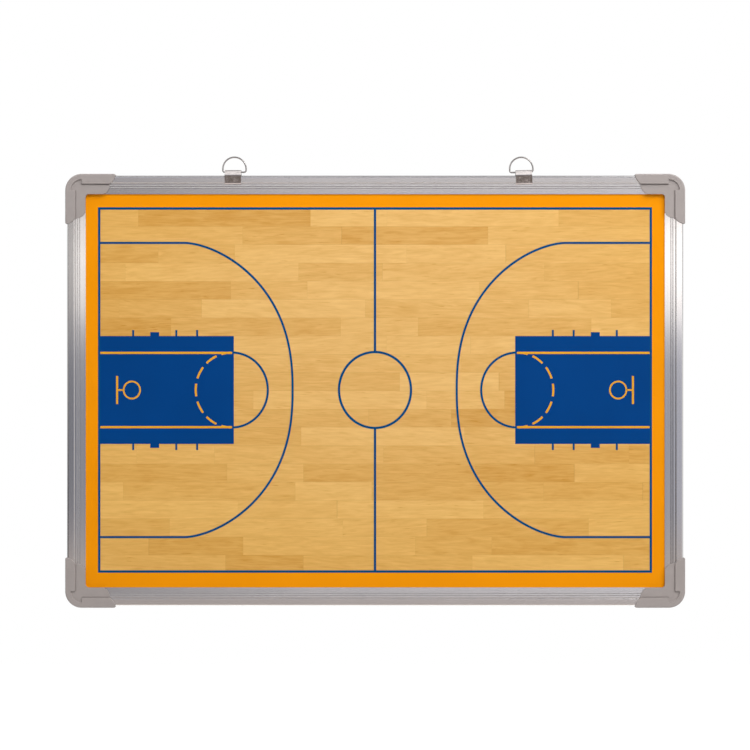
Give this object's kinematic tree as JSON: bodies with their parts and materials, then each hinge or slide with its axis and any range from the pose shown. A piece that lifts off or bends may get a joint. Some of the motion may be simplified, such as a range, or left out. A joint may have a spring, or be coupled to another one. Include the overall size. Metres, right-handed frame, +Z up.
{
  "type": "tactics board",
  "caption": "Framed magnetic court board with a printed panel, extruded rails, moulded corner caps, and sliding clips whose D-rings swing up to hang it on a wall.",
  "frame": {"origin": "middle of the board on the wall plane, which the backs of the corner caps touch", "axes": "+X to the right along the board's width, +Y into the wall, +Z up; the printed face looks along -Y"},
  "size_m": [0.6, 0.0178, 0.4373],
  "materials": {
    "printed_film": "gloss printed dry-wipe film",
    "face_steel": "white coated steel sheet",
    "core_board": "raw board",
    "galvanised_steel": "galvanised",
    "anodised_rail": "satin anodised extrusion",
    "moulded_cap": "grey moulded ABS",
    "moulded_key": "moulded nylon",
    "zinc_screw": "bright zinc plated",
    "plated_strip": "bright nickel plated strip",
    "plated_wire": "bright nickel plated wire"
  },
  "bodies": {
    "board": {"court_film": "printed_film", "steel_face_sheet": "face_steel", "panel_core": "core_board", "back_sheet": "galvanised_steel", "top_rail": "anodised_rail", "bottom_rail": "anodised_rail", "left_rail": "anodised_rail", "right_rail": "anodised_rail", "corner_cap_top_left": "moulded_cap", "corner_cap_top_right": "moulded_cap", "corner_cap_bottom_left": "moulded_cap", "corner_cap_bottom_right": "moulded_cap", "corner_key_top_left": "moulded_key", "corner_key_top_right": "moulded_key", "corner_key_bottom_left": "moulded_key", "corner_key_bottom_right": "moulded_key", "corner_screws": "zinc_screw"},
    "left_clip": {"hanger_clip_left": "plated_strip"},
    "right_clip": {"hanger_clip_right": "plated_strip"},
    "left_ring": {"d_ring_left": "plated_wire"},
    "right_ring": {"d_ring_right": "plated_wire"}
  },
  "joints": [
    {"name": "left_clip_slide", "type": "slide", "parent": "board", "child": "left_clip", "axis": [1, 0, 0], "range_m": [-0.102, 0.122]},
    {"name": "right_clip_slide", "type": "slide", "parent": "board", "child": "right_clip", "axis": [1, 0, 0], "range_m": [-0.128, 0.094]},
    {"name": "left_ring_swing", "type": "hinge", "parent": "left_clip", "child": "left_ring", "pos_m": [-0.1378, -0.01202, 0.212], "axis": [1, 0, 0], "range_deg": [-95, 110]},
    {"name": "right_ring_swing", "type": "hinge", "parent": "right_clip", "child": "right_ring", "pos_m": [0.14389, -0.01202, 0.212], "axis": [0.9997, 0, 0.0262], "range_deg": [-95, 110]}
  ]
}
